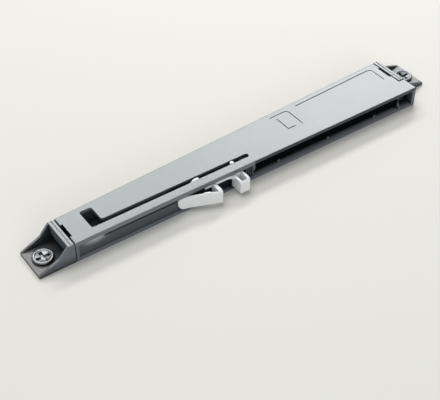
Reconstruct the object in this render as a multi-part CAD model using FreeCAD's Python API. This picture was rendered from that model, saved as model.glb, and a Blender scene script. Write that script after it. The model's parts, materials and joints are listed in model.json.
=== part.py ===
import FreeCAD, Part
import math
import os

# Soft close damper: a flat tapered housing that is screwed to a cabinet side by a bracket at each end.
# A white catch at its front takes hold of a striker and rides on a carriage inside. A tension spring
# pulls the carriage to the right, towards closed, and an oil damper holds it back.
# Layout frame in millimetres: X from the housing's left end, Y from its front face to the back,
# Z up from the mounting face. The pieces are moved to the part's own origin when they are written.

# Housing
housing_length = 201.1
housing_height = 10.8
left_width = 19.4
right_width = 29.9
floor_thickness = 1.15
wall = 1.4
end_wall = 1.5
cover_thickness = 1.6
lip_depth = 1.0
lip_drop = 0.5
edge_round = 0.4

# Clearances
seam = 0.4
fit = 0.1
running = 0.35

# Motion and catch
parking_gap = 0.6
ramp_length = 21.0
ramp_nose_length = 4.0
ramp_nose_drop = 0.2
ramp_wall = 0.9
ramp_bend = 8.0
tip_round_low = 4.2
tip_round_high = 1.2
jaw_gap = 9.8
hollow_jaw_length = 5.75
jaw_reach = 6.5
jaw_wall = 1.9
jaw_bottom_gap = 0.5
jaw_round = 2.5
jaw_corner = 0.9
hollow_wall = 1.2
hollow_depth = 5.0
web_front = 0.5
web_root = 3.0
neck_length = 5.7
ramp_tab_length = 2.9
ramp_tab_height = 0.45
latch_nose_length = 5.0
latch_nose_depth = 1.35
latch_nose_slope = 2.6
nose_to_gap = 11.1
nose_margin = 1.0
pivot_radius = 0.95
spigot_radius = 1.0
spigot_depth = 2.2

# Guide slot of the cover
slot_front = 4.8
slot_width = 2.55
slot_past_bulkhead = 0.2
slot_round = 1.05
pocket_length = 6.2
pocket_reach = 9.5
pocket_round = 1.2

# Open front of the base
panel_recess = 1.15
panel_thickness = 1.1
panel_past_ramp = 1.4
panel_rim = 0.3
panel_bevel = 1.2
panel_seat = 0.3
slit_past_neck = 2.6
bulkhead_thickness = 4.6
bulkhead_groove = 0.7
bulkhead_grooves = 3
end_post = 2.0
end_pocket_length = 7.8
end_pocket_gap = 1.0
end_rib = 1.0
end_rib_foot = 0.2
end_rib_knee = 5.0
end_rib_set_back = 2.4

# Carriage and its guide
carriage_length = 30.4
carriage_past_jaw = 2.25
rail_gap = 7.5
rail_thickness = 1.2
rail_height = 1.9
arm_length = 6.8
arm_thickness = 1.1
peg_radius = 1.3
peg_height = 2.4

# Oil damper
damper_y = 5.0
cylinder_radius = 3.6
cylinder_wall = 0.8
rod_radius = 1.0
rod_hole = 1.5
gland_length = 5.0
gland_flange = 1.2
seal_length = 1.8
washer_length = 0.7
piston_length = 6.0
piston_groove = 1.6
piston_groove_depth = 0.7
passage_radius = 0.25
clip_length = 0.7
clip_radius = 1.9
plug_length = 5.0
plug_groove = 1.3
plug_groove_depth = 0.6
end_play = 1.5
compensator_length = 16.15
compensator_play = 5.0
bead_radius = 1.55
bead_length = 1.8
bead_inset = 1.7
bead_floor = 0.45
saddle_thickness = 1.5
saddle_count = 3
saddle_half_width = 2.6
partition_thickness = 1.0
partition_height = 4.0

# Closing spring
spring_y = 14.6
spring_radius = 3.0
wire = 0.8
spring_coils = 30
hook_run = 8.0
anchor_inset = 2.2

# End brackets and their screws
left_reach = 18.6
right_reach = 16.4
bracket_strip = 3.1
strip_line = 1.3
right_bracket_width = 20.15
flange = 1.25
gusset = 1.1
knee_reach = 4.75
knee_height = 5.65
lintel = 5.8
left_screw_inset = 6.75
right_screw_inset = 5.35
latch_width = 9.0
latch_window = 1.3
tongue_thickness = 1.2
tongue_nib = 0.7
head_radius = 4.9
head_height = 1.5
head_rim = 0.75
head_dish = 0.5
shank_radius = 2.5
recess_length = 6.4
recess_width = 1.5
recess_depth = 0.95

# Cover pegs in the base's bosses
boss_radius = 2.2
peg_pin_radius = 1.0
peg_pin_length = 3.0
boss_overlap = 0.4
boss_steps = 3
boss_end_inset = 21.5
boss_inset = 5.9

# Engraved lines of the cover
line_width = 0.45
line_depth = 0.3
mark_start = 122.6
mark_length = 11.2
mark_front = 10.3
mark_inset = 2.7
mark_gap = 2.4
mark_rise = 0.5
mark_foot = 4.8
mark_round = 0.5
field_start = 139.8
field_inset = 8.7
field_margin = 3.2
field_return = 10.9
line_round = 2.2

# Values that follow from the sizes above
V = FreeCAD.Vector
cover_under = housing_height - cover_thickness
damper_z = (floor_thickness + cover_under) / 2
lip_bottom = cover_under - lip_drop
panel_back = panel_recess + panel_thickness
carriage_top = damper_z + bead_radius + fit
panel_top = carriage_top - running

# The rod's stroke appears twice along the housing: in front of the catch, and in the cylinder.
catch_stack = ramp_length + jaw_gap + hollow_jaw_length + carriage_past_jaw
mouth_stack = running + bulkhead_thickness + gland_length + seal_length + washer_length + 4 * fit
piston_stack = compensator_length + compensator_play + piston_length + clip_length + end_play + 2 * fit
end_stack = end_wall + parking_gap + plug_length + end_rib + end_pocket_length + end_post
travel = (housing_length - catch_stack - mouth_stack - piston_stack - end_stack) / 2

ramp_tip = end_wall + parking_gap + travel
gap_start = ramp_tip + ramp_length
gap_end = gap_start + jaw_gap
jaw_end = gap_end + hollow_jaw_length
nose_start = gap_start - nose_to_gap
neck_start = gap_start - neck_length
carriage_end = jaw_end + carriage_past_jaw
carriage_start = carriage_end - carriage_length
bulkhead_start = carriage_end + running
bulkhead_end = bulkhead_start + bulkhead_thickness
slot_start = nose_start - travel - nose_margin
slot_end = bulkhead_end + slot_past_bulkhead
slot_back = slot_front + slot_width
slit_start = neck_start - travel - slit_past_neck
panel_end = ramp_tip + panel_past_ramp

jaw_bottom = floor_thickness + jaw_bottom_gap
jaw_top = lip_bottom - running
carriage_bottom = floor_thickness + running
carriage_front = panel_back + running
rail_front = carriage_front + rail_gap + running
bulkhead_back = rail_front + rail_thickness
carriage_back = rail_front - running
web_top = cover_under - running

bead_end = carriage_end - bead_inset
bead_start = bead_end - bead_length
pivot_x = bead_start - fit - spigot_radius
pivot_y = slot_front + fit + pivot_radius

post_start = housing_length - end_post
end_pocket_start = post_start - end_pocket_length
end_rib_start = end_pocket_start - end_rib
cylinder_start = bulkhead_end + fit
cylinder_end = end_rib_start - fit
bore_radius = cylinder_radius - cylinder_wall
piston_radius = bore_radius - fit
gland_end = cylinder_start + gland_length
seal_start = gland_end + fit
seal_end = seal_start + seal_length
washer_start = seal_end + fit
washer_end = washer_start + washer_length
plug_start = cylinder_end - plug_length
clip_end = plug_start - end_play
piston_end = clip_end - clip_length - fit
piston_start = piston_end - piston_length
compensator_start = washer_end + fit
compensator_end = compensator_start + compensator_length

spring_z = damper_z
arm_top = spring_z - wire / 2 - fit
peg_x = carriage_end - peg_radius - 2 * fit
anchor_x = end_rib_start - anchor_inset

taper = (right_width - left_width) / housing_length
left_screw_x = left_screw_inset - left_reach
right_screw_x = right_screw_inset - right_reach
right_front = right_width - right_bracket_width
notch_front = right_front - seam
end_pocket_depth = notch_front - wall - end_pocket_gap - panel_thickness
notch_start = housing_length - bracket_strip - seam
rail_top = floor_thickness + rail_height


def box(x0, x1, y0, y1, z0, z1):
    """Block between two corners."""
    return Part.makeBox(x1 - x0, y1 - y0, z1 - z0, V(x0, y0, z0))


def plan(points, z0, z1):
    """Outline in the XY plane, raised from z0 to z1."""
    ring = [V(x, y, z0) for x, y in points]
    return Part.Face(Part.makePolygon(ring + ring[:1])).extrude(V(0, 0, z1 - z0))


def side(points, y0, y1):
    """Outline in the XZ plane, carried from y0 to y1."""
    ring = [V(x, y0, z) for x, z in points]
    return Part.Face(Part.makePolygon(ring + ring[:1])).extrude(V(0, y1 - y0, 0))


def across(points, x0, x1):
    """Outline in the YZ plane, carried from x0 to x1."""
    ring = [V(x0, y, z) for y, z in points]
    return Part.Face(Part.makePolygon(ring + ring[:1])).extrude(V(x1 - x0, 0, 0))


def rod_x(x0, x1, radius, y=damper_y, z=damper_z):
    """Round bar along X."""
    return Part.makeCylinder(radius, x1 - x0, V(x0, y, z), V(1, 0, 0))


def tube_x(x0, x1, outer, inner, y=damper_y, z=damper_z):
    """Round tube along X."""
    return rod_x(x0, x1, outer, y, z).cut(rod_x(x0, x1, inner, y, z))


def post(x, y, z0, z1, radius):
    """Round post along Z."""
    return Part.makeCylinder(radius, z1 - z0, V(x, y, z0))


def join(*shapes):
    """One clean solid out of shapes that meet."""
    return shapes[0].fuse(list(shapes[1:])).removeSplitter()


def rounded_path(points, radius, z):
    """Straight runs through the points, with a tangent arc of the given radius at each inner point."""
    corners = [V(x, y, z) for x, y in points]
    edges = []
    start = corners[0]
    for before, corner, after in zip(corners, corners[1:], corners[2:]):
        back = (before - corner).normalize()
        ahead = (after - corner).normalize()
        half = back.getAngle(ahead) / 2
        run = radius / math.tan(half)
        middle = (back + ahead).normalize()
        arc_in = corner + back * run
        arc_out = corner + ahead * run
        arc_top = corner + middle * (radius / math.sin(half) - radius)
        edges.append(Part.LineSegment(start, arc_in).toShape())
        edges.append(Part.Arc(arc_in, arc_top, arc_out).toShape())
        start = arc_out
    edges.append(Part.LineSegment(start, corners[-1]).toShape())
    return Part.Wire(edges)


def strip(points, radius, width, z0, z1):
    """Strip of even width along a rounded path, raised from z0 to z1."""
    path = rounded_path(points, radius, z0)
    start = V(*points[0], z0)
    ahead = (V(*points[1], z0) - start).normalize()
    across = V(-ahead.y, ahead.x, 0) * (width / 2)
    up = V(0, 0, z1 - z0)
    section = [start - across, start + across, start + across + up, start - across + up]
    return path.makePipeShell([Part.makePolygon(section + section[:1])], True, False)


def rounded_block(x0, x1, y0, y1, z0, z1, radius):
    """Block with its four upright edges rounded."""
    block = box(x0, x1, y0, y1, z0, z1)
    uprights = [edge for edge in block.Edges if abs(edge.tangentAt(edge.FirstParameter).z) > 0.9]
    return block.makeFillet(radius, uprights)


def back_at(x):
    """Y of the housing's slanting back face."""
    return left_width + taper * x


def outline():
    """Plan of the housing, with the notch that takes the right bracket's top strip."""
    return [
        (0, 0),
        (housing_length, 0),
        (housing_length, notch_front),
        (notch_start, notch_front),
        (notch_start, back_at(notch_start)),
        (0, left_width),
    ]


def boss_centres():
    """Centres of the bosses: along the back wall, and one behind the front wall at each end."""
    step = (housing_length - boss_end_inset - boss_inset) / boss_steps
    along = [boss_inset + step * number for number in range(boss_steps + 1)]
    places = [(x, back_at(x) - wall - boss_radius + boss_overlap) for x in along]
    places.append((boss_inset, panel_back + fit + boss_radius))
    right_x = (end_pocket_start + post_start) / 2
    right_y = end_pocket_depth + panel_thickness + boss_radius - boss_overlap
    places.append((right_x, right_y))
    return places


# Base tray

def tongue_notch(x0, middle):
    """Opening in an end wall for a bracket's tongue, up to the cover."""
    half = latch_width / 2 + fit
    bottom = housing_height - lintel - fit
    return box(x0, x0 + end_wall, middle - half, middle + half, bottom, cover_under)


def seat(x0, x1, y0, y1):
    """Shallow groove in the floor that a standing piece is set into."""
    return box(x0 - fit, x1 + fit, y0 - fit, y1 + fit, floor_thickness - panel_seat, floor_thickness)


def make_front_panel():
    """Dark panel in the open front. Its rim is bevelled to the back along the slit that the neck runs in."""
    low = floor_thickness - panel_seat
    rim = panel_recess + panel_rim
    edge = [
        (panel_recess, low),
        (panel_back, low),
        (panel_back, panel_top - panel_bevel),
        (rim, panel_top),
        (panel_recess, panel_top),
    ]
    closed = box(end_wall + fit, slit_start, panel_recess, panel_back, low, cover_under - fit)
    return join(closed, across(edge, slit_start, panel_end))


def make_bulkhead():
    """Ribbed block between the carriage's bay and the damper, with the hole that the rod passes through."""
    low = floor_thickness - panel_seat
    block = box(bulkhead_start, bulkhead_end, panel_recess, bulkhead_back, low, web_top)
    block = block.cut(rod_x(bulkhead_start, bulkhead_end, rod_hole))
    half = bulkhead_groove / 2
    front = panel_recess + bulkhead_groove
    for number in range(bulkhead_grooves):
        x = bulkhead_start + bulkhead_thickness * (number + 1) / (bulkhead_grooves + 1)
        block = block.cut(box(x - half, x + half, panel_recess, front, floor_thickness, web_top))
    return block


def tray_damper_bay():
    """Saddles and partition of the damper's channel, and the slanting rib that ends it."""
    low = floor_thickness
    back = damper_y + cylinder_radius + fit
    top = low + partition_height
    partition = box(bulkhead_end + fit, end_rib_start, back, back + partition_thickness, low, top)
    bed = rod_x(cylinder_start, cylinder_end, cylinder_radius + fit / 2)
    pieces = [partition]
    for number in range(saddle_count):
        share = (number + 0.5) / saddle_count
        x = cylinder_start + (cylinder_end - cylinder_start) * share
        front = damper_y - saddle_half_width
        saddle = box(x, x + saddle_thickness, front, back, low, damper_z - saddle_half_width)
        pieces.append(saddle.cut(bed))
    rib = [
        (end_rib_foot, low),
        (back + partition_thickness, low),
        (back + partition_thickness, cover_under),
        (end_rib_set_back, cover_under),
        (end_rib_set_back, end_rib_knee),
    ]
    pieces.append(across(rib, end_rib_start, end_pocket_start))
    return pieces


def tray_right_end():
    """Pocket, end post and stepped end wall round the right bracket."""
    low = floor_thickness
    pocket_back = end_pocket_depth + panel_thickness
    pocket = box(end_pocket_start, post_start, end_pocket_depth, pocket_back, low, cover_under)
    column = box(post_start, housing_length, 0, notch_front, low, cover_under)
    bay_end = housing_length - end_wall
    column = column.cut(box(post_start, bay_end, pocket_back, notch_front, low, cover_under))
    inner = notch_start - end_wall
    step = box(inner, housing_length, notch_front - wall, notch_front, low, cover_under)
    end = box(inner, notch_start, notch_front - wall, back_at(notch_start) - fit, low, cover_under)
    end = end.cut(tongue_notch(inner, right_front + right_bracket_width / 2))
    return [pocket, column, step, end]


def make_base_tray():
    """Floor, back wall and ends of the housing, with everything that stands on the floor."""
    low = floor_thickness
    floor = plan(outline(), 0, low)
    rear = [
        (0, left_width),
        (notch_start, back_at(notch_start)),
        (notch_start, back_at(notch_start) - wall),
        (0, left_width - wall),
    ]
    back = plan(rear, low, cover_under)
    left = box(0, end_wall, 0, left_width - fit, low, cover_under).cut(tongue_notch(0, left_width / 2))
    rail = box(slot_start, bulkhead_start - fit, rail_front, rail_front + rail_thickness, low, rail_top)
    anchor = post(anchor_x, spring_y, low, spring_z + peg_height, peg_radius)
    collar = post(anchor_x, spring_y, low, arm_top, peg_radius + wire)
    bosses = [post(x, y, low, cover_under, boss_radius) for x, y in boss_centres()]
    pieces = [floor, back, left, rail, anchor, collar]
    tray = join(*pieces, *tray_damper_bay(), *tray_right_end(), *bosses)
    tray = tray.cut([
        seat(end_wall, panel_end, panel_recess, panel_back),
        seat(bulkhead_start, bulkhead_end, panel_recess, bulkhead_back),
    ])
    hole_bottom = cover_under - peg_pin_length - fit
    for x, y in boss_centres():
        tray = tray.cut(post(x, y, hole_bottom, cover_under, peg_pin_radius + fit / 2))
    return tray


# Top cover

def slot_opening():
    """Guide slot with the side pocket at its open end, where the catch tips over and stays cocked."""
    low = cover_under - lip_drop
    slot = rounded_block(slot_start, slot_end, slot_front, slot_back, low, housing_height, slot_round)
    pocket_back = slot_back + pocket_reach
    pocket_end = slot_start + pocket_length
    pocket = rounded_block(slot_start, pocket_end, slot_front, pocket_back, low, housing_height, slot_round)
    bend_x = pocket_end + pocket_round
    bend_y = slot_back + pocket_round
    corner = box(pocket_end, bend_x, slot_back, bend_y, low, housing_height)
    bend = post(bend_x, bend_y, low, housing_height, pocket_round)
    return join(slot, pocket, corner.cut(bend))


def latch_notch(x0, middle):
    """Window over a bracket's tongue, open to the seam."""
    half = latch_width / 2
    return box(x0, x0 + latch_window, middle - half, middle + half, cover_under, housing_height)


def engraved_lines():
    """Shallow lines of the cover: a small open frame, and the border of a plain field beside it."""
    low = housing_height - line_depth
    mark_end = mark_start + mark_length
    field_end = housing_length - field_inset
    rear = {x: back_at(x) - field_margin for x in (mark_start, mark_end, field_start, field_end)}
    frame = [(mark_start, rear[mark_start]), (mark_end, rear[mark_end]), (mark_end, mark_front)]
    inner_x = mark_start + mark_inset
    inner_y = mark_front + mark_rise
    inside = [(inner_x, rear[mark_start] - mark_gap), (inner_x, inner_y), (inner_x + mark_foot, inner_y)]
    border = [
        (field_start, rear[field_start]),
        (field_end, rear[field_end]),
        (field_end, rear[field_end] - field_return),
    ]
    lines = [(frame, line_round), (inside, mark_round), (border, line_round)]
    return [strip(points, radius, line_width, low, housing_height) for points, radius in lines]


def make_top_cover():
    """Light cover plate with a front lip, the guide slot, latch windows and pegs for the bosses."""
    plate = plan(outline(), cover_under, housing_height)
    rims = [edge for edge in plate.Edges if edge.BoundBox.ZMin > housing_height - fit]
    plate = plate.makeFillet(edge_round, rims)
    lip = box(end_wall + fit, bulkhead_end, 0, lip_depth, lip_bottom, cover_under)
    low = cover_under - peg_pin_length
    pegs = [post(x, y, low, cover_under, peg_pin_radius) for x, y in boss_centres()]
    cover = join(plate, lip, *pegs)
    right_middle = right_front + right_bracket_width / 2
    right_window = latch_notch(notch_start - latch_window, right_middle)
    return cover.cut([slot_opening(), latch_notch(0, left_width / 2), right_window, *engraved_lines()])


# End brackets

def bracket_plan(width, inner, tip, lean, inset):
    """Plan of a bracket drawn in by inset. Its sides lean with the housing's back; lean is for the first."""
    stations = sorted({tip, min(inner, 0.0), inner})
    first = [(x, lean * x + inset) for x in stations]
    second = [(x, width + taper * min(x, 0.0) - inset) for x in reversed(stations)]
    return first + second


def screw_y(x, width, lean):
    """Middle of a bracket's flange at x."""
    return (width + (lean + taper) * x) / 2


def bracket_at_left(width, inner, tip, lean, hole_x):
    """Bracket with its tip on the left, on a housing that ends at X 0. Its inner face stands at inner."""
    outer = inner - bracket_strip
    profile = [
        (inner, 0),
        (tip, 0),
        (tip, flange),
        (outer - knee_reach, knee_height),
        (outer, housing_height),
        (inner, housing_height),
    ]
    body = side(profile, -width, 2 * width).common(
        plan(bracket_plan(width, inner, tip, lean, 0), 0, housing_height))
    crest = [edge for edge in body.Edges if edge.BoundBox.ZMin > housing_height - fit]
    body = body.makeFillet(edge_round, crest)
    groove_start = outer + strip_line
    groove_end = groove_start + line_width
    groove = box(groove_start, groove_end, -width, 2 * width, housing_height - line_depth, housing_height)
    hollow = plan(bracket_plan(width, inner, tip, lean, gusset), flange, housing_height)
    hollow = hollow.cut(box(outer, inner, -width, 2 * width, housing_height - lintel, housing_height))
    hole = post(hole_x, screw_y(hole_x, width, lean), 0, flange, shank_radius + fit)
    tongue_bottom = housing_height - lintel
    half = latch_width / 2 - fit
    hook = inner + seam + end_wall + fit
    middle = width / 2
    tongue_top = tongue_bottom + tongue_thickness
    tongue = box(outer, hook + tongue_nib, middle - half, middle + half, tongue_bottom, tongue_top)
    nib_bottom = tongue_bottom - fit - tongue_nib
    nib = box(hook, hook + tongue_nib, middle - half, middle + half, nib_bottom, tongue_bottom)
    return join(body.cut([hollow, hole, groove]), tongue, nib)


def screw_at(x, y):
    """Pan head screw with a dished top and a cross recess; its shank ends level with the mounting face."""
    top = flange + head_height
    section = [
        V(0, 0, 0),
        V(shank_radius, 0, 0),
        V(shank_radius, 0, flange),
        V(head_radius, 0, flange),
        V(head_radius, 0, flange + head_rim),
        V(head_radius - head_rim, 0, top),
        V(head_radius - 2 * head_rim, 0, top),
        V(head_radius - 2 * head_rim - head_dish, 0, top - head_dish),
        V(0, 0, top - head_dish),
    ]
    screw = Part.Face(Part.makePolygon(section + section[:1])).revolve(V(0, 0, 0), V(0, 0, 1), 360)
    long = recess_length / 2
    short = recess_width / 2
    low = top - head_dish - recess_depth
    cross = join(box(-long, long, -short, short, low, top), box(-short, short, -long, long, low, top))
    screw = screw.cut(cross)
    screw.translate(V(x, y, 0))
    return screw


def to_right_end(shape):
    """Turn a left-hand piece round to the right end of the housing."""
    turned = shape.copy()
    turned.rotate(V(0, right_bracket_width / 2, 0), V(0, 0, 1), 180)
    turned.translate(V(housing_length, right_front, 0))
    return turned


# Catch and carriage

def make_carriage():
    """Sled between front panel and rail, with a socket for the rod's bead and an arm for the spring."""
    sled = box(carriage_start, carriage_end, carriage_front, carriage_back, carriage_bottom, carriage_top)
    arm_start = carriage_end - arm_length
    reach = spring_y + peg_radius + wire
    arm = box(arm_start, carriage_end, carriage_back, reach, arm_top - arm_thickness, arm_top)
    peg = post(peg_x, spring_y, arm_top, spring_z + peg_height, peg_radius)
    sled = join(sled, arm, peg)
    front = damper_y - bead_radius - fit
    back = damper_y + bead_radius + fit
    socket = box(bead_start - fit, bead_end + fit, front, back, carriage_bottom, carriage_top)
    neck = rod_radius + fit
    gate = box(bead_end, carriage_end, damper_y - neck, damper_y + neck, carriage_bottom, damper_z + neck)
    hole_bottom = carriage_top - spigot_depth - fit
    spigot_hole = post(pivot_x, pivot_y, hole_bottom, carriage_top, spigot_radius + fit / 2)
    relief_end = pivot_x - spigot_radius - wall
    relief = box(carriage_start + wall, relief_end, carriage_front + wall, carriage_back - wall,
                 carriage_bottom, carriage_top - wall)
    return sled.cut([socket, gate, spigot_hole, relief])


def jaw_profile():
    """Side view of both jaws, with the top outer corner rounded, long enough to cover them."""
    front = -jaw_reach
    bow = jaw_round * (1 - math.sqrt(0.5))
    a = V(ramp_tip - jaw_wall, front, jaw_top - jaw_round)
    b = V(ramp_tip - jaw_wall, front + bow, jaw_top - bow)
    c = V(ramp_tip - jaw_wall, front + jaw_round, jaw_top)
    d = V(ramp_tip - jaw_wall, carriage_front, jaw_top)
    e = V(ramp_tip - jaw_wall, carriage_front, jaw_bottom)
    f = V(ramp_tip - jaw_wall, front, jaw_bottom)
    lines = [Part.LineSegment(p, q).toShape() for p, q in ((c, d), (d, e), (e, f), (f, a))]
    face = Part.Face(Part.Wire([Part.Arc(a, b, c).toShape()] + lines))
    return face.extrude(V(jaw_end - ramp_tip + 2 * jaw_wall, 0, 0))


def ramp_plan():
    """Centre line of the ramp: a nose tucked into the recess, then straight out to the jaw's corner."""
    half = ramp_wall / 2
    nose_y = panel_recess - running - half
    tip = (ramp_tip + half, nose_y)
    bend = (ramp_tip + half + ramp_nose_length, nose_y - ramp_nose_drop)
    return [tip, bend, (gap_start - jaw_wall / 2, half - jaw_reach)]


def tip_corner(radius, corner_z, inward):
    """What the rounding takes off a corner of the ramp's tip: inward is 1 at its bottom, -1 at its top."""
    z = corner_z + inward * radius
    block = box(ramp_tip, ramp_tip + radius, -jaw_reach, carriage_front, min(corner_z, z), max(corner_z, z))
    depth = carriage_front + jaw_reach
    return block.cut(Part.makeCylinder(radius, depth, V(ramp_tip + radius, -jaw_reach, z), V(0, 1, 0)))


def make_catch():
    """White catch in one piece: web over the carriage, ramp jaw, hollow jaw, latch nose, pivot pin."""
    ramp = strip(ramp_plan(), ramp_bend, ramp_wall, jaw_bottom, jaw_top)
    ramp = ramp.fuse(post(*ramp_plan()[0], jaw_bottom, jaw_top, ramp_wall / 2))
    ramp = ramp.cut([tip_corner(tip_round_low, jaw_bottom, 1), tip_corner(tip_round_high, jaw_top, -1)])
    blade = rounded_block(gap_start - jaw_wall, gap_start, -jaw_reach, carriage_front, jaw_bottom, jaw_top,
                          jaw_corner)
    jaw = rounded_block(gap_end, jaw_end, -jaw_reach, carriage_front, jaw_bottom, jaw_top, jaw_corner)
    inside = rounded_block(gap_end + hollow_wall, jaw_end - hollow_wall, hollow_wall - jaw_reach, web_front,
                           jaw_top - hollow_depth, jaw_top, jaw_corner)
    jaws = ramp.fuse([blade, jaw.cut(inside)]).common(jaw_profile())
    behind = panel_recess - running
    jaws = jaws.cut(box(ramp_tip - jaw_wall, jaw_end, behind, carriage_front, jaw_bottom, carriage_top))
    tab_bottom = jaw_top - jaw_round
    tab_top = jaw_top + ramp_tab_height
    tall = strip(ramp_plan(), ramp_bend, ramp_wall, tab_bottom, tab_top)
    tab = tall.common(box(neck_start - ramp_tab_length, neck_start, -jaw_reach, 0, tab_bottom, tab_top))
    neck = box(neck_start, jaw_end, web_front, carriage_front, carriage_top, jaw_top)
    root = box(gap_end - web_root, gap_end, web_front - web_root, web_front, carriage_top, jaw_top)
    root = root.cut(post(gap_end - web_root, web_front - web_root, carriage_top, jaw_top, web_root))
    web_back = pivot_y + pivot_radius
    web = box(nose_start - wall, carriage_end - wall, carriage_front, web_back, carriage_top, web_top)
    nose_front = slot_front + fit
    nose_back = nose_front + latch_nose_depth
    nose = [
        (nose_start, nose_front),
        (nose_start + latch_nose_length, nose_front),
        (nose_start + latch_nose_length, nose_back),
        (nose_start + latch_nose_slope, nose_back),
    ]
    latch = plan(nose, web_top, housing_height)
    pin = post(pivot_x, pivot_y, web_top, housing_height, pivot_radius)
    spigot = post(pivot_x, pivot_y, carriage_top - spigot_depth, carriage_top, spigot_radius)
    return join(jaws, tab, neck, root, web, latch, pin, spigot)


# Oil damper

def make_gland():
    """Rod guide in the mouth of the cylinder, with a flange against its rim."""
    flange_end = cylinder_start + gland_flange
    body = rod_x(cylinder_start, gland_end, bore_radius - fit / 2)
    cap = rod_x(cylinder_start, flange_end, cylinder_radius)
    return join(body, cap).cut(rod_x(cylinder_start, gland_end, rod_radius + fit / 2))


def make_piston():
    """Piston with a groove for its ring and two oil passages."""
    piston = tube_x(piston_start, piston_end, piston_radius, rod_radius + fit / 2)
    middle = (piston_start + piston_end) / 2
    half = piston_groove / 2
    root = piston_radius - piston_groove_depth
    piston = piston.cut(tube_x(middle - half, middle + half, piston_radius, root))
    offset = (root + rod_radius) / 2
    for y in (damper_y - offset, damper_y + offset):
        piston = piston.cut(rod_x(piston_start, piston_end, passage_radius, y))
    return piston


def make_piston_ring():
    """Ring in the piston's groove."""
    middle = (piston_start + piston_end) / 2
    half = piston_groove / 2 - fit
    inner = piston_radius - piston_groove_depth + fit / 2
    return tube_x(middle - half, middle + half, bore_radius - fit / 2, inner)


def make_end_plug():
    """Plug in the closed end of the cylinder, with a groove for its seal."""
    plug = rod_x(plug_start, cylinder_end, bore_radius - fit / 2)
    middle = (plug_start + cylinder_end) / 2
    half = plug_groove / 2
    return plug.cut(tube_x(middle - half, middle + half, bore_radius, bore_radius - plug_groove_depth))


def make_end_plug_seal():
    """O-ring in the plug's groove, drawn as it is squeezed there."""
    middle = (plug_start + cylinder_end) / 2
    half = plug_groove / 2 - fit
    return tube_x(middle - half, middle + half, bore_radius, bore_radius - plug_groove_depth + fit / 2)


def make_rod():
    """Piston rod from the bead in the carriage to the clip behind the piston."""
    return rod_x(bead_start + bead_floor, clip_end, rod_radius)


def make_bead():
    """Bead on the rod's end that snaps into the carriage."""
    bead = rod_x(bead_start, bead_end, bead_radius)
    return bead.cut(rod_x(bead_start + bead_floor, bead_end, rod_radius))


# Closing spring

def make_spring():
    """Close wound tension spring: a coiled body and a hook loop at each end."""
    body_start = peg_x + hook_run
    body_end = anchor_x - hook_run
    pitch = (body_end - body_start) / spring_coils
    inner = spring_radius - wire
    root = spring_radius - wire / 2
    section = [V(body_start, inner, 0)]
    for coil in range(spring_coils):
        x = body_start + coil * pitch
        section.append(V(x, root, 0))
        section.append(V(x + pitch / 2, spring_radius, 0))
    section.append(V(body_end, root, 0))
    section.append(V(body_end, inner, 0))
    coils = Part.Face(Part.makePolygon(section + section[:1])).revolve(V(0, 0, 0), V(1, 0, 0), 360)
    coils.translate(V(0, spring_y, spring_z))
    pieces = [coils]
    loop_radius = peg_radius + fit + wire / 2
    for x, inward, body in ((peg_x, 1, body_start), (anchor_x, -1, body_end)):
        pieces.append(Part.makeTorus(loop_radius, wire / 2, V(x, spring_y, spring_z)))
        shank_start = x + inward * loop_radius
        end = body + inward * pitch
        low = min(shank_start, end)
        high = max(shank_start, end)
        pieces.append(rod_x(low, high, wire / 2, spring_y, spring_z))
        disc = min(body, end)
        pieces.append(rod_x(disc, disc + pitch, (inner + root) / 2, spring_y, spring_z))
    return join(*pieces)


left_screw = screw_at(left_screw_x, screw_y(left_screw_x, left_width, 0))
right_screw = screw_at(right_screw_x, screw_y(right_screw_x, right_bracket_width, taper))
left_bracket = bracket_at_left(left_width, -seam, -left_reach, 0, left_screw_x)
right_bracket = bracket_at_left(right_bracket_width, bracket_strip, -right_reach, taper, right_screw_x)
compensator_outer = bore_radius - fit
compensator_inner = rod_radius + running
solids = {
    "base_tray": make_base_tray(),
    "front_panel": make_front_panel(),
    "bulkhead": make_bulkhead(),
    "top_cover": make_top_cover(),
    "left_end_bracket": left_bracket,
    "right_end_bracket": to_right_end(right_bracket),
    "fixing_screws": Part.makeCompound([left_screw, to_right_end(right_screw)]),
    "damper_cylinder": tube_x(cylinder_start + gland_flange, cylinder_end, cylinder_radius, bore_radius),
    "cylinder_end_plug": make_end_plug(),
    "end_plug_seal": make_end_plug_seal(),
    "rod_gland": make_gland(),
    "rod_seal": tube_x(seal_start, seal_end, bore_radius - fit / 2, rod_radius + fit / 2),
    "seal_washer": tube_x(washer_start, washer_end, bore_radius - fit / 2, rod_radius + fit),
    "volume_compensator": tube_x(compensator_start, compensator_end, compensator_outer, compensator_inner),
    "closing_spring": make_spring(),
    "carriage": make_carriage(),
    "catch": make_catch(),
    "rod_coupling": make_bead(),
    "piston_rod": make_rod(),
    "piston": make_piston(),
    "piston_ring": make_piston_ring(),
    "piston_clip": tube_x(clip_end - clip_length, clip_end, clip_radius, rod_radius),
}

# The part's origin lies under the middle of its bounding box, on the mounting face.
far_back = right_width + taper * right_reach
origin = V((housing_length + right_reach - left_reach) / 2, (far_back - jaw_reach) / 2, 0)
os.makedirs("parts", exist_ok=True)
for name, solid in solids.items():
    solid.translate(V(-origin.x, -origin.y, 0))
    solid.exportStep(f"parts/{name}.step")
    print(name, len(solid.Solids), solid.isValid(), round(solid.Volume, 2))
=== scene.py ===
# %% [markdown]
# # Soft close damper: dressing the solids
# A soft close damper is a flat, tapered box that is screwed into a cabinet. A satin grey cover lies on a base with
# an open front, and a white catch runs along that front on a carriage, pulled by a spring and braked by a small oil
# cylinder. The solids come from CAD, so this lesson is about the rest: the camera, the studio, the plastics and
# metals, and the two pieces that want smoother surfaces than facets give.

import json

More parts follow.
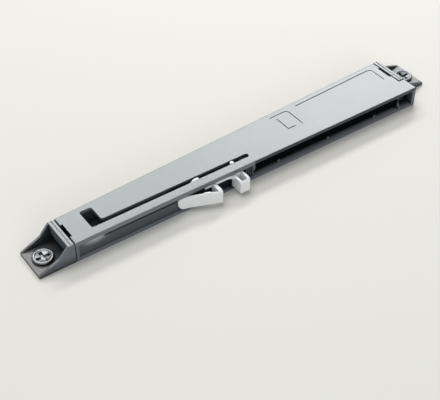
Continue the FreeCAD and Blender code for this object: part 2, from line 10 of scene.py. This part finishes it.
import bmesh
import bpy
import numpy as np
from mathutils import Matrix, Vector


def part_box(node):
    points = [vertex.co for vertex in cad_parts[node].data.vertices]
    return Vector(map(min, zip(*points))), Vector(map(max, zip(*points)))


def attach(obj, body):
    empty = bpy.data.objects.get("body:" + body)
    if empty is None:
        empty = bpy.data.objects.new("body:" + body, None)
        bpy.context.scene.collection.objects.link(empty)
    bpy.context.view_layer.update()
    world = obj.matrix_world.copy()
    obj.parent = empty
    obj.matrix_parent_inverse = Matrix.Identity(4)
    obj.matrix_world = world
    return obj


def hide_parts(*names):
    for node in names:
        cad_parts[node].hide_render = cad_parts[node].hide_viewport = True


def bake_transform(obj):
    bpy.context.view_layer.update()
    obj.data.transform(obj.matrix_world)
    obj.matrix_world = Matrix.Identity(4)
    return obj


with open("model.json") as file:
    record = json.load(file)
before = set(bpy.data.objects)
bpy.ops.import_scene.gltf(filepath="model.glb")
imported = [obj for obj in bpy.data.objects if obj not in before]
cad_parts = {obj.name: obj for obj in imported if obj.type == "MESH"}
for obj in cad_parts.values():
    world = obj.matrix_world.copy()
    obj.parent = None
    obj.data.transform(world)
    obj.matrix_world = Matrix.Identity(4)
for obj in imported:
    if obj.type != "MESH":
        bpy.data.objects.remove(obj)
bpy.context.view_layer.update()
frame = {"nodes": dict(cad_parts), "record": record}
scene = bpy.context.scene

# %% [markdown]
# ## Camera
# The long front edge, the short ends and the uprights of the housing give three directions, and with them the place
# of the camera and the focal length of its lens. A longer lens from further away would flatten the taper of the
# housing, so the distance matters as much as the angle. Nothing is shifted or out of focus.

# %% Camera
MM = 0.001
EYE = Vector((-222.14, -294.75, 307.92)) * MM
LOOKED_AT = Vector((-25.135, -15.068, 0.0)) * MM
camera_data = bpy.data.cameras.new("camera")
camera_data.sensor_fit = "HORIZONTAL"
camera_data.sensor_width = 36.0
camera_data.lens = 80.19
camera_data.clip_start = 0.01
camera = bpy.data.objects.new("camera", camera_data)
camera.location = EYE
camera.rotation_euler = (LOOKED_AT - EYE).to_track_quat("-Z", "Y").to_euler()
scene.collection.objects.link(camera)
scene.camera = camera
print("camera distance:", round((EYE - LOOKED_AT).length, 4))

# %% [markdown]
# ## Shader maths as Python
# A material is a graph of nodes, and wiring it by hand is slow to read. The first class below stands for one output
# of a node, so that `1 - mask * 0.3` writes the Math nodes by itself. Colours don't go through Math nodes, which
# would turn them grey: they are blended with Mix. Every other node comes from `Finish.node`, which sets its options
# first and then its sockets.


# %% Sockets that can be added and multiplied
class Wire:
    """One output socket of a material; arithmetic with it adds Math nodes."""

    def __init__(self, finish, socket):
        self.finish = finish
        self.socket = socket

    def math(self, operation, first, second):
        return self.finish.node("ShaderNodeMath", {"operation": operation}, {0: first, 1: second})

    def __add__(self, other):
        return self.math("ADD", self, other)

    def __sub__(self, other):
        return self.math("SUBTRACT", self, other)

    def __rsub__(self, other):
        return self.math("SUBTRACT", other, self)

    def __mul__(self, other):
        return self.math("MULTIPLY", self, other)

    __radd__ = __add__
    __rmul__ = __mul__


print("made:", Wire.__name__)


# %% A material round one shader
class Finish:
    """A material round one Principled shader; constants go straight onto the shader's own sockets."""

    def __init__(self, name, **constants):
        self.material = bpy.data.materials.new(name)
        self.material.use_nodes = True
        self.tree = self.material.node_tree
        self.shader = self.tree.nodes["Principled BSDF"]
        for socket, value in constants.items():
            self.shader.inputs[socket.replace("_", " ")].default_value = value

    def put(self, socket, value):
        """Link a wire to a socket, or set a number or colour on it."""
        if isinstance(value, Wire):
            self.tree.links.new(value.socket, socket)
        else:
            socket.default_value = value

    def node(self, kind, settings, sockets, output=0):
        """Add any node: its options first, then the values or links of its sockets."""
        made = self.tree.nodes.new(kind)
        for option, value in settings.items():
            setattr(made, option, value)
        for socket, value in sockets.items():
            self.put(made.inputs[socket], value)
        return Wire(self, made.outputs[output])

    def feed(self, **wires):
        """Link what varies over the surface to the shader's sockets, and give the finished material."""
        for socket, wire in wires.items():
            self.put(self.shader.inputs[socket.replace("_", " ")], wire)
        return self.material


print("a finish can:", [name for name in vars(Finish) if name in ("put", "node", "feed")])

# %% [markdown]
# ## Ingredients of a finish
# Moulded and metal surfaces differ in only a few things: how large their grain is, how much it tilts the light, how
# the colour drifts over the piece, and how sharp the edges are. The recipes below give those. All patterns read
# Object coordinates, in metres, so a scale of 1000 means about one feature per millimetre.


# %% Place, noise, ranges and colour blends
def place(finish, stretch=(1, 1, 1)):
    """Object coordinates, multiplied along each axis by a factor."""
    here = finish.node("ShaderNodeTexCoord", {}, {}, "Object")
    return finish.node("ShaderNodeVectorMath", {"operation": "MULTIPLY"}, {0: here, 1: stretch})


def noise(finish, scale, detail, stretch=(1, 1, 1)):
    """Cloudy noise from 0 to 1 with scale features per metre."""
    sockets = {"Vector": place(finish, stretch), "Scale": scale, "Detail": detail}
    return finish.node("ShaderNodeTexNoise", {}, sockets)


def span(finish, value, low, high, to_low=0.0, to_high=1.0):
    """A smooth step of value from to_low at low to to_high at high."""
    sockets = {"Value": value, "From Min": low, "From Max": high, "To Min": to_low, "To Max": to_high}
    return finish.node("ShaderNodeMapRange", {"interpolation_type": "SMOOTHSTEP"}, sockets)


def blend(finish, share, first, second):
    """Colour that goes from first to second as share goes from 0 to 1; plain colours become opaque."""
    first, second = (c if isinstance(c, Wire) else (*c, 1) for c in (first, second))
    return finish.node("ShaderNodeMix", {"data_type": "RGBA"}, {0: share, 6: first, 7: second}, 2)


def shade(colour, factor):
    """A colour made lighter or darker by a factor, at most white."""
    return tuple(min(1.0, c * factor) for c in colour)


print("recipes:", [recipe.__name__ for recipe in (place, noise, span, blend, shade)])

# %% [markdown]
# A material can also ask about the shape that it lies on. The Bevel node gives the normal that an edge would have if
# it were rounded, which is where a real moulding catches the light. Ambient Occlusion gives the share of open sky
# over a point, and so finds slots and recesses. True Normal says which way a face looks. None of them depends on the
# camera, so the finish stays put when the part is turned.


# %% Edges, hollows and directions
EDGE_SAMPLES = 6
SKY_SAMPLES = 8


def rounded(finish, radius):
    """Normal with the edges rounded by a radius in metres."""
    return finish.node("ShaderNodeBevel", {"samples": EDGE_SAMPLES}, {"Radius": radius})


def tilt(finish, height, strength, depth, edge):
    """Bump from a height map of a depth in metres, laid over edges that are rounded by edge metres."""
    sockets = {"Strength": strength, "Distance": depth, "Height": height, "Normal": rounded(finish, edge)}
    return finish.node("ShaderNodeBump", {}, sockets)


def open_sky(finish, reach):
    """Share of sky over a point, from 0 to 1, counting what stands in the way within reach."""
    return finish.node("ShaderNodeAmbientOcclusion", {"samples": SKY_SAMPLES}, {"Distance": reach}, "AO")


def flat_normal(finish):
    """Direction in which the flat face looks."""
    return finish.node("ShaderNodeNewGeometry", {}, {}, "True Normal")


def part_along(finish, vector, axis):
    """One component of a vector."""
    return finish.node("ShaderNodeSeparateXYZ", {}, {0: vector}, axis)


def looks_up(finish):
    """1 on faces that look up, 0 on upright ones."""
    return span(finish, part_along(finish, flat_normal(finish), "Z"), 0.5, 0.9)


print("shape recipes:", [f.__name__ for f in (rounded, tilt, open_sky, flat_normal, part_along, looks_up)])

# %% [markdown]
# ## Layers of a moulding
# These layers paint light and shade into the colour. Faces that look up are painted lighter than upright ones, as
# painted light and sheen; open edges carry a painted highlight; deep hollows, the flanges under the screws and the
# cover's edge over the open half are painted dark as painted shade; and a pale cloud on the panel is a painted
# reflection. Each of these is a layer: a function that takes the colour and the roughness so far and paints over
# them.
# One long recipe with many switches would do the same, but then it would be hard to see what a piece really has.


# %% Layers by place and direction
def painted_top_light(colour):
    """Painted light: faces that look up take a lighter colour, for the light and sheen that fall on them."""
    def paint(finish, tone, dull):
        return blend(finish, looks_up(finish), tone, colour), dull
    return paint


def foot(colour, low=3 * MM, high=4 * MM):
    """Painted shade: faces that look up below a height are darker and duller, as on the shaded flanges under the
    screws.

    The share is how far the face looks up, times a step that falls from 1 at low to 0 at high.
    """
    def paint(finish, tone, dull):
        height = part_along(finish, place(finish), "Z")
        share = looks_up(finish) * span(finish, height, low, high, 1.0, 0.0)
        return blend(finish, share, tone, colour), dull + 0.1 * share
    return paint


def painted_edge_shade(start, colour, softness=0.5 * MM):
    """Painted shade: faces that look forward take a dark colour right of start, on the cover's edge over the open
    half.
    """
    def paint(finish, tone, dull):
        forward = 0 - part_along(finish, flat_normal(finish), "Y")
        across = part_along(finish, place(finish), "X")
        share = span(finish, forward, 0.5, 0.9) * span(finish, across, start - softness, start + softness)
        return blend(finish, share, tone, colour), dull
    return paint


def painted_highlight_cloud(x, z, colour, reach=4 * MM, stretch=(0.45, 0, 1)):
    """Painted reflection: a soft cloud of a lighter colour round a point, where the panel shows a glint.

    Its share falls from 1 to 0 over a distance of reach from the point (x, z). Distances along X count for less
    than half, so the cloud is long, and those along Y don't count.
    """
    def paint(finish, tone, dull):
        middle = (x * stretch[0], 0, z * stretch[2])
        ends = {0: place(finish, stretch), 1: middle}
        away = finish.node("ShaderNodeVectorMath", {"operation": "DISTANCE"}, ends, "Value")
        return blend(finish, span(finish, away, 0.0, reach, 1.0, 0.0), tone, colour), dull
    return paint


print("layers:", [layer.__name__ for layer in (painted_top_light, foot, painted_edge_shade, painted_highlight_cloud)])

# %% Layers by edge and hollow
HOLLOW_REACH = 12 * MM
HIGHLIGHT_EDGE = 0.45 * MM
HIGHLIGHT_TONE = (0.45, 0.48, 0.53)
DARK = (0.0, 0.0, 0.0)


def painted_edge_highlight(amount):
    """Painted highlight: open edges are paler, where rounded edges catch the lamps.

    An edge is where the rounded normal leans away from the flat one, so the share grows with one less their dot
    product. It is nothing where less than 0.4 of the sky is open.
    """
    def paint(finish, tone, dull):
        ends = {0: flat_normal(finish), 1: rounded(finish, HIGHLIGHT_EDGE)}
        lean = finish.node("ShaderNodeVectorMath", {"operation": "DOT_PRODUCT"}, ends, "Value")
        highlight_share = span(finish, 1 - lean, 0.03, 0.25) * span(finish, open_sky(finish, HOLLOW_REACH), 0.4, 0.6)
        return blend(finish, highlight_share * amount, tone, HIGHLIGHT_TONE), dull
    return paint


def painted_hollow_shade(shut, clear, ceiling=None):
    """Painted shade: hollows go dark and dull, wholly where the share of sky is below shut, not at all above clear.

    Shadow alone would leave them too light. With a ceiling, what lies higher than it stays as it is.
    """
    def paint(finish, tone, dull):
        hidden = span(finish, open_sky(finish, HOLLOW_REACH), shut, clear, 0.97, 0.0)
        if ceiling:
            height = part_along(finish, place(finish), "Z")
            hidden = hidden * span(finish, height, ceiling - 0.2 * MM, ceiling, 1.0, 0.0)
        return blend(finish, hidden, tone, DARK), dull + 0.5 * hidden
    return paint


print("layers:", [layer.__name__ for layer in (painted_edge_highlight, painted_hollow_shade)])

# %% [markdown]
# ## Moulded plastics
# Cover, brackets and base are a grey plastic with a fine texture. It is darker than it looks: most of the brightness
# of the top is sheen, so its colour stays low and its roughness decides how wide a lamp spreads on it.
# The panel behind the open front is smoother and nearly black. The catch is a milky acetal that has to slide, and the
# carriage and the oil cylinder are black. One recipe with different numbers and layers makes them all.

# %% Plastic recipe
SHEEN = (0.965, 1.0, 0.98, 1)
TEXTURE_SCALE = 5200.0
FLOW_SCALE = 60.0
FLOW_STRETCH = (0.35, 1, 1)


def moulded(name, colour, flow, grain, roughness, edge, gloss, *layers):
    """Colour drifts by flow in long clouds along X; grain is the texture's height in metres at 0.2 mm spacing.

    Edges are rounded by edge metres. The layers are painted over the colour and the roughness one by one.
    """
    finish = Finish(name, Specular_IOR_Level=gloss, Specular_Tint=SHEEN)
    clouds = noise(finish, FLOW_SCALE, 2.0, FLOW_STRETCH)
    specks = noise(finish, TEXTURE_SCALE, 2.0)
    drift = span(finish, clouds * 0.75 + specks * 0.25, 0.32, 0.68)
    tone = blend(finish, drift, shade(colour, 1 - flow), shade(colour, 1 + flow))
    dull = roughness - 0.05 + 0.1 * specks
    for paint in layers:
        tone, dull = paint(finish, tone, dull)
    return finish.feed(Base_Color=tone, Roughness=dull, Normal=tilt(finish, specks, 0.35, grain, edge))


print("texture spacing in mm:", round(1 / (TEXTURE_SCALE * MM), 2))

# %% The plastics of this part
over_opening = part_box("bulkhead")[1].x
# Besides drift and texture, the layers in these rows paint light and shade: lighter tops, pale edges, a pale cloud,
# darker flanges, a dark cover edge and dark hollows.
plastics = [
    # name, colour, flow, grain, roughness, edge, gloss, layers
    ("cover_plastic", (0.138, 0.151, 0.161), 0.035, 1.2e-5, 0.19, 2.5e-4, 0.5,
     painted_edge_shade(over_opening, (0.018, 0.019, 0.022)), painted_edge_highlight(0.45), painted_hollow_shade(0.3, 0.62)),
    ("bracket_plastic", (0.108, 0.122, 0.141), 0.04, 1.2e-5, 0.22, 2.5e-4, 0.5,
     painted_top_light((0.20, 0.21, 0.22)), foot((0.112, 0.111, 0.109)), painted_edge_highlight(0.3), painted_hollow_shade(0.44, 0.74, 10.3 * MM)),
    ("base_plastic", (0.100, 0.110, 0.128), 0.06, 1.5e-5, 0.36, 2.0e-4, 0.4,
     painted_top_light((0.21, 0.22, 0.245)), painted_edge_highlight(0.1), painted_hollow_shade(0.25, 0.37)),
    ("panel_plastic", (0.060, 0.065, 0.072), 0.08, 5e-6, 0.24, 2.0e-4, 0.5,
     painted_highlight_cloud(-88.7 * MM, 7.8 * MM, (0.38, 0.38, 0.37)), painted_top_light((0.16, 0.17, 0.18)), painted_hollow_shade(0.06, 0.3, 8.6 * MM)),
    ("catch_plastic", (0.72, 0.725, 0.72), 0.015, 4e-6, 0.36, 3.0e-4, 0.25),
    ("carriage_plastic", (0.012, 0.013, 0.015), 0.1, 6e-6, 0.4, 2.0e-4, 0.2),
    ("cylinder_plastic", (0.0025, 0.003, 0.004), 0.1, 4e-6, 0.5, 2.0e-4, 0.0),
    ("damper_plastic", (0.09, 0.09, 0.10), 0.08, 5e-6, 0.36, 2.0e-4, 0.5),
]
finishes = {row[0]: moulded(*row) for row in plastics}
print("plastics:", sorted(finishes))

# %% [markdown]
# ## Metals, rubber and foam
# The screws are nickel over a turned head, and their recess is painted dark as painted shade. Rod and wire are ground
# and drawn steel, with lines along the way they were pulled. Seals are dull black nitrile, and the foam that takes up
# the rod's volume is full of closed cells. Most of this is hidden in the housing, but the part can be opened.

# %% Metals
SMALL_EDGE = 1.5e-4


def polished(name, colour, roughness, stretch, lines, recess_shade_reach=None):
    """Metal whose roughness and tilt follow lines of noise, drawn out along the axes where stretch is small.

    The last argument is the reach in metres within which a recess is found and blackened, as painted shade.
    """
    finish = Finish(name, Metallic=1.0)
    scratches = noise(finish, 3500.0, 4.0, stretch)
    stains = noise(finish, 220.0, 3.0)
    tone = blend(finish, span(finish, stains, 0.35, 0.7), colour, shade(colour, 0.82))
    if recess_shade_reach:
        # Painted shade: recesses within the reach are blackened.
        tone = blend(finish, span(finish, open_sky(finish, recess_shade_reach), 0.45, 0.8, 0.95, 0.0), tone, DARK)
    dull = roughness + 0.14 * scratches + 0.08 * stains
    return finish.feed(Base_Color=tone, Roughness=dull, Normal=tilt(finish, scratches, 0.25, lines, SMALL_EDGE))


metals = [
    # name, colour, roughness, stretch, lines, reach of the painted recess shade
    ("screw_nickel", (0.235, 0.24, 0.25), 0.26, (1, 1, 1), 4e-6, 1.5 * MM),
    ("rod_steel", (0.58, 0.58, 0.59), 0.16, (1, 0.15, 0.15), 4e-6),
    ("spring_steel", (0.47, 0.47, 0.48), 0.22, (0.2, 1, 1), 5e-6),
]
finishes.update({row[0]: polished(*row) for row in metals})
print("metals:", [row[0] for row in metals])


# %% Rubber and foam
def cellular(name, colour, scale, depth, roughness):
    """Matt material with cells of scale per metre: walls stand up, cells are darker."""
    finish = Finish(name)
    cells = finish.node("ShaderNodeTexVoronoi", {}, {"Vector": place(finish), "Scale": scale})
    tone = blend(finish, span(finish, cells, 0.1, 0.7), shade(colour, 0.6), colour)
    dull = roughness + 0.1 * cells
    return finish.feed(Base_Color=tone, Roughness=dull, Normal=tilt(finish, cells, 0.4, depth, SMALL_EDGE))


finishes["seal_rubber"] = cellular("seal_rubber", (0.02, 0.02, 0.02), 9000.0, 4e-6, 0.55)
finishes["compensator_foam"] = cellular("compensator_foam", (0.20, 0.20, 0.21), 2600.0, 5e-5, 0.8)
print("finishes in all:", len(finishes))

# %% [markdown]
# ## Dressing the CAD nodes
# Each solid already knows its material slot from the record, so dressing them is a look-up. The mesh isn't touched.

# %% Assign finishes to the solids
slot_of = {piece["node"]: piece["material_slot"] for piece in frame["record"]["subparts"]}
for node, solid in frame["nodes"].items():
    solid.data.materials.clear()
    solid.data.materials.append(finishes[slot_of[node]])
print("dressed:", len(slot_of))

# %% [markdown]
# ## Surfaces from grids
# The screws and the spring are made new, because they are round all over and facets would show. Both are grids of
# points: a function of two parameters, worked out for the whole array at once. The helper turns such grids into one
# mesh, closes each round where it is a tube or a turned shape, and merges the points that meet at a pole.


# %% Grid to mesh
def grid_faces(rows, columns, start):
    """Corner numbers of the quads of a grid that is closed round in its second direction."""
    u, v = np.meshgrid(np.arange(rows - 1), np.arange(columns), indexing="ij")
    v_next = (v + 1) % columns
    corners = [(u, v), (u + 1, v), (u + 1, v_next), (u, v_next)]
    return np.stack([start + a * columns + b for a, b in corners], -1).reshape(-1, 4)


def merge_and_turn_out(mesh):
    """Merge the points of a pole, drop the faces that this empties, and turn the rest outwards."""
    work = bmesh.new()
    work.from_mesh(mesh)
    bmesh.ops.remove_doubles(work, verts=work.verts, dist=1e-7)
    bmesh.ops.recalc_face_normals(work, faces=work.faces)
    work.to_mesh(mesh)
    work.free()


def grid_piece(name, grids, finish):
    """Smooth object made of one or more grids of shape (u, v, 3)."""
    starts = np.cumsum([0] + [grid.shape[0] * grid.shape[1] for grid in grids[:-1]])
    faces = np.concatenate([grid_faces(*grid.shape[:2], start) for grid, start in zip(grids, starts)])
    points = np.concatenate([grid.reshape(-1, 3) for grid in grids])
    mesh = bpy.data.meshes.new(name)
    mesh.from_pydata(points.tolist(), [], faces.tolist())
    merge_and_turn_out(mesh)
    mesh.polygons.foreach_set("use_smooth", np.ones(len(mesh.polygons), bool))
    mesh.materials.append(finish)
    piece = bpy.data.objects.new(name, mesh)
    scene.collection.objects.link(piece)
    print(name, "faces:", len(mesh.polygons))
    return piece


print("quads of a grid of 3 by 4 points:", len(grid_faces(3, 4, 0)))

# %% [markdown]
# ## Fixing screws
# A cabinet screw with a pan head: a narrow raised ring, a dish inside it and a cross recess. It could be a turned
# shape with a cross cut out of it, but a height that depends on radius and angle gives the same in one grid, with the
# rounded lips that plating leaves.

# %% Screw sizes
HEAD = 4.9 * MM
RING = HEAD - 1.25 * MM
LIP = 0.35 * MM
CROWN = 0.62 * MM
SEAT = 1.25 * MM
SHANK = 2.5 * MM
DISH_DEPTH = 0.6 * MM
RECESS_HALF = (3.3 * MM, 0.85 * MM)
RECESS_LIP = 0.2 * MM
RECESS_DEPTH = 0.9 * MM
print("ring width in mm:", round((HEAD - RING) / MM, 2))


# %% Screw surface
def smooth(x, low, high):
    """Cubic step from 0 at low to 1 at high."""
    t = np.clip((x - low) / (high - low), 0, 1)
    return t * t * (3 - 2 * t)


def bar(length, width):
    """1 inside a bar's half-length and half-width, falling to 0 over its lip at both."""
    sides = zip((length, width), RECESS_HALF)
    along, across = (smooth(-np.abs(x), -half, RECESS_LIP - half) for x, half in sides)
    return along * across


def screw_grid(centre, top):
    """Turned profile (radius r, height z) from the middle of the head, over its ring and down the shank.

    Inside the ring the dish falls with the square of r. The recess is the union of two bars: where either is 1, the
    height drops by the recess's depth.
    """
    r_dish = np.linspace(0, RING, 84)
    z_dish = top - LIP - DISH_DEPTH * (1 - (r_dish / RING) ** 2)
    arc = np.linspace(0, np.pi / 2, 12)
    r_ring = np.concatenate([RING + LIP * (1 - np.cos(arc)), HEAD - CROWN + CROWN * np.sin(arc)])
    z_ring = np.concatenate([top - LIP * (1 - np.sin(arc)), top - CROWN * (1 - np.cos(arc))])
    chamfer, tip = 0.1 * MM, 0.2 * MM
    r_low = np.array([HEAD, HEAD - chamfer, SHANK, SHANK, SHANK - tip, 0])
    z_low = np.array([SEAT + chamfer, SEAT, SEAT, tip, 0, 0])
    r = np.concatenate([r_dish, r_ring, r_low])[:, None]
    z = np.concatenate([z_dish, z_ring, z_low])[:, None]
    angle = np.linspace(0, 2 * np.pi, 256, endpoint=False)[None, :]
    x, y = r * np.cos(angle), r * np.sin(angle)
    in_dish = (np.arange(len(r)) < len(r_dish))[:, None]
    z = z - np.where(in_dish, np.maximum(bar(x, y), bar(y, x)), 0) * RECESS_DEPTH
    return np.stack([centre[0] + x, centre[1] + y, z], -1)


low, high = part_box("fixing_screws")
centres = [(low.x + HEAD, low.y + HEAD), (high.x - HEAD, high.y - HEAD)]
screws = grid_piece("dished_screws", [screw_grid(c, high.z) for c in centres], finishes["screw_nickel"])
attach(screws, "housing")
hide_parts("fixing_screws")

# %% [markdown]
# ## Closing spring
# A tension spring is one wire: a loop over the anchor peg, a body of coils and a loop over the carriage's peg. The
# body is a helix carried along X, and the wire's round section is swept along it. The loops lie flat, so their
# sections stand on the Z axis. The spring stretches as the carriage is pulled back, but here the piece is fixed to
# the housing, which holds its right end.

# %% Spring sizes
low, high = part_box("closing_spring")
AXIS = ((low.y + high.y) / 2, (low.z + high.z) / 2)
WIRE = 0.4 * MM
COIL = (high.y - low.y) / 2 - WIRE
LOOP = 1.8 * MM
RUN = 8.0 * MM
ELBOW = 1.2 * MM
TURNS = 80
pegs = (low.x + LOOP + WIRE, high.x - LOOP - WIRE)
coils = (pegs[0] + RUN, pegs[1] - RUN)
print("pitch in mm:", round((coils[1] - coils[0]) / TURNS / MM, 2))


# %% Paths of the wire
def coil_path():
    """Helix along X: as t goes from 0 to 1, x goes over the body's length and the angle makes all its turns."""
    t = np.linspace(0, 1, TURNS * 20 + 1)
    turn = 2 * np.pi * TURNS * t
    x = coils[0] + t * (coils[1] - coils[0])
    return np.stack([x, AXIS[0] + COIL * np.cos(turn), AXIS[1] + COIL * np.sin(turn)], -1)


def hook_path(peg, inward):
    """A loop round the peg in plan, a straight shank along the axis, and an elbow out to the coil's radius."""
    angle = np.linspace(-0.92 * np.pi, np.pi, 60)
    ring = np.stack([peg - inward * LOOP * np.cos(angle), AXIS[0] + LOOP * np.sin(angle)], -1)
    shank_x = peg + inward * np.linspace(LOOP, RUN - ELBOW, 12)[1:]
    shank = np.stack([shank_x, np.full(len(shank_x), AXIS[0])], -1)
    bend = np.linspace(0, np.pi / 2, 10)[1:]
    elbow_x = peg + inward * (RUN - ELBOW + ELBOW * np.sin(bend))
    elbow = np.stack([elbow_x, AXIS[0] + COIL * (1 - np.cos(bend))], -1)
    plan = np.concatenate([ring, shank, elbow])
    return np.column_stack([plan, np.full(len(plan), AXIS[1])])


print("points of the body and of a loop:", len(coil_path()), len(hook_path(pegs[0], 1)))


# %% Wire along a path
def wire_grid(path, up):
    """Circles of the wire's radius round each point of a path, and a closing point at each end.

    A circle lies across the path: one of its axes is at right angles to up and to the path, the other to both.
    """
    along = np.gradient(path, axis=0)
    along /= np.linalg.norm(along, axis=1, keepdims=True)
    across = np.cross(np.broadcast_to(up, along.shape), along)
    across /= np.linalg.norm(across, axis=1, keepdims=True)
    rise = np.cross(along, across)
    angle = np.linspace(0, 2 * np.pi, 12, endpoint=False)[None, :, None]
    tube = path[:, None] + WIRE * (np.cos(angle) * across[:, None] + np.sin(angle) * rise[:, None])
    caps = [np.broadcast_to(path[end], tube[:1].shape) for end in (0, -1)]
    return np.concatenate([caps[0], tube, caps[1]])


hooks = [wire_grid(hook_path(peg, inward), (0, 0, 1)) for peg, inward in zip(pegs, (1, -1))]
spring = grid_piece("wound_spring", [wire_grid(coil_path(), (1, 0, 0)), *hooks], finishes["spring_steel"])
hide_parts("closing_spring")
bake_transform(spring)
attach(spring, "housing")

# %% [markdown]
# ## Floor and studio light
# The part lies on a pale matt table that runs out of the picture on all sides. A long, low soft box stands where a
# mirror in place of the cover would show it, and a second one overlaps it on the right, so the sheen grows from the
# narrow end to the wide one. A lamp above and behind makes the short, dark shadow at the foot of the front side, and
# a weak one in front lifts the catch. The sky is an even grey that fills the rest.

# %% Floor
TABLE_HALF = 3.0
TABLE_LEVEL = -1e-4


def table_finish():
    """Warm white with a very slight drift, and no gloss."""
    finish = Finish("table_paint", Specular_IOR_Level=0.2)
    drift = noise(finish, 4.0, 2.0)
    tone = blend(finish, drift, (0.642, 0.632, 0.595), (0.656, 0.646, 0.609))
    return finish.feed(Base_Color=tone, Roughness=0.6 + 0.1 * drift)


table_mesh = bpy.data.meshes.new("table")
signs = [(-1, -1), (1, -1), (1, 1), (-1, 1)]
table_mesh.from_pydata([(TABLE_HALF * x, TABLE_HALF * y, TABLE_LEVEL) for x, y in signs], [], [(0, 1, 2, 3)])
table_mesh.materials.append(table_finish())
table = bpy.data.objects.new("table", table_mesh)
scene.collection.objects.link(table)
print("table:", tuple(table.dimensions))


# %% Lights
def soft_box(name, at, aimed, size, power, colour):
    """Rectangular area light at a point, aimed at another."""
    data = bpy.data.lights.new(name, "AREA")
    data.shape = "RECTANGLE"
    data.size, data.size_y = size
    data.energy = power
    data.color = colour
    lamp = bpy.data.objects.new(name, data)
    lamp.location = at
    lamp.rotation_euler = (Vector(aimed) - Vector(at)).to_track_quat("-Z", "Y").to_euler()
    scene.collection.objects.link(lamp)


soft_box("key", (0.53, 0.76, 0.76), (0.53, 0, 0), (1.25, 0.19), 5.7, (1.0, 0.995, 0.975))
soft_box("key_right", (0.90, 0.76, 0.76), (0.90, 0, 0), (0.60, 0.19), 5.0, (1.0, 0.995, 0.975))
soft_box("top", (-0.10, 0.42, 1.30), (0, 0, 0), (1.0, 0.6), 7.5, (1.0, 0.99, 0.96))
soft_box("front", (-0.30, -1.20, 0.40), (0, 0, 0), (1.0, 0.5), 4.4, (0.97, 0.99, 1.0))

# %% Sky
world = bpy.data.worlds.new("studio")
world.use_nodes = True
sky = world.node_tree.nodes["Background"]
sky.inputs["Color"].default_value = (0.93, 0.95, 1.0, 1)
sky.inputs["Strength"].default_value = 0.55
scene.world = world
scene.view_settings.view_transform = "Standard"
print("sky strength:", round(sky.inputs["Strength"].default_value, 2))

# %% [markdown]
# ## Sizes and finish
# The dressed part has to stay as large as its solids.
